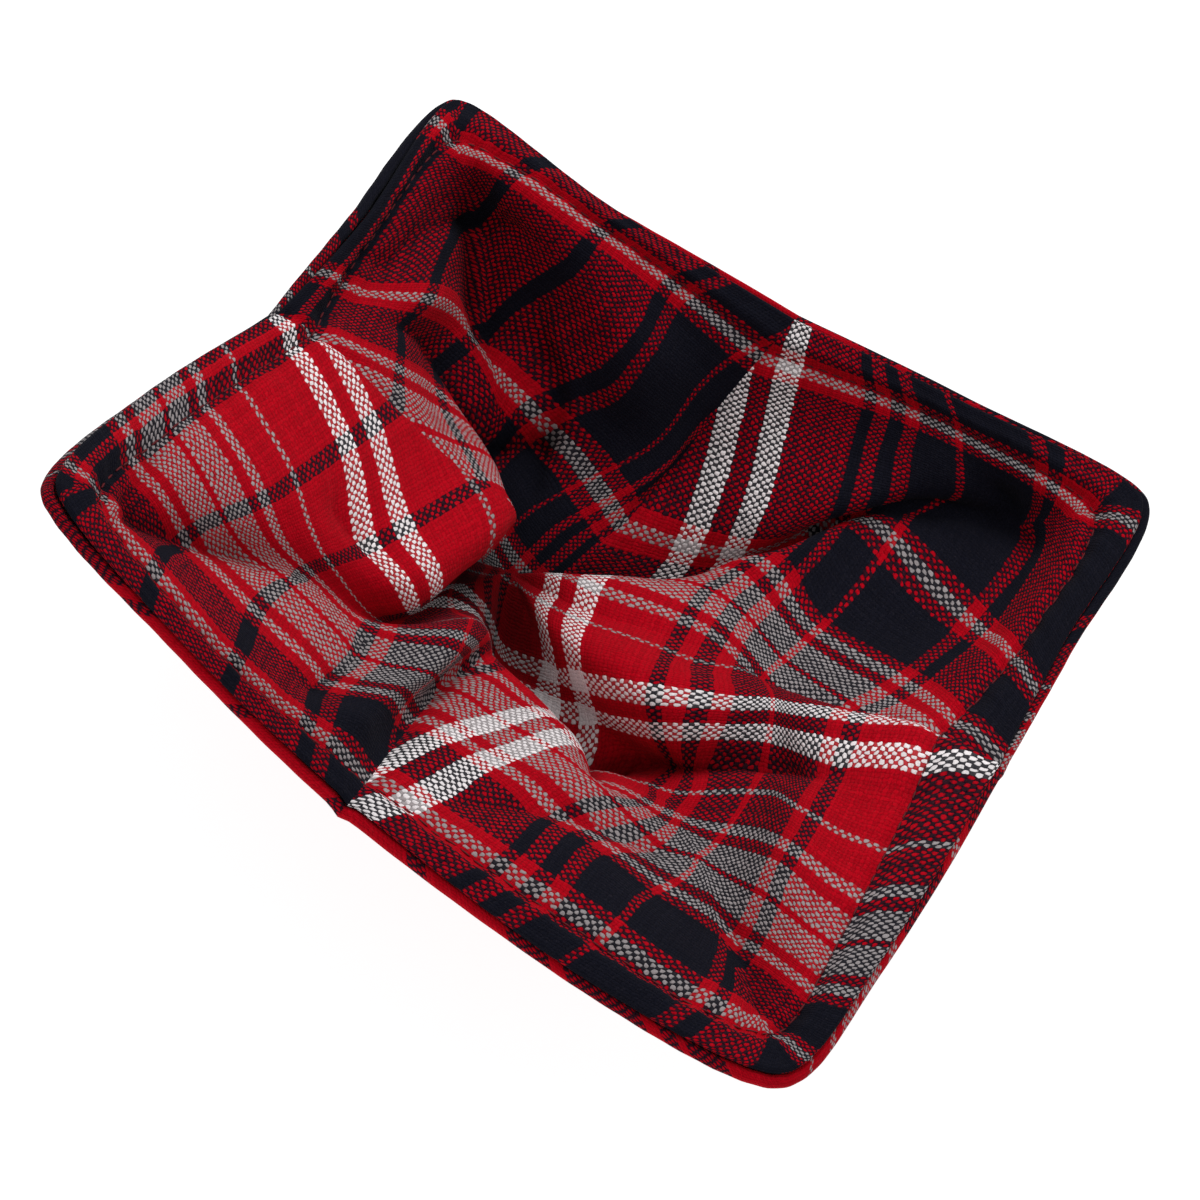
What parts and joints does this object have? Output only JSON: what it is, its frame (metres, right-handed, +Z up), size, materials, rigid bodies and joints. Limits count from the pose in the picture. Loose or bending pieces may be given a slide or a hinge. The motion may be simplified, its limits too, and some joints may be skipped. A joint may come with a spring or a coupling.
{
  "type": "bowl cozy",
  "caption": "Quilted cloth bowl cozy: two padded square panels, darted into a bowl with four raised corners, plaid inside and out.",
  "frame": {"origin": "on the table under the middle of the bounding box", "axes": "+Z up; X runs along the near rim, +X to the right in the picture; +Y runs from the near rim to the far rim"},
  "size_m": [0.189, 0.193, 0.076],
  "materials": {
    "inner_plaid": "matt",
    "outer_plaid": "matt"
  },
  "bodies": {
    "root": {"inner_panel": "inner_plaid", "outer_panel": "outer_plaid"}
  },
  "joints": []
}
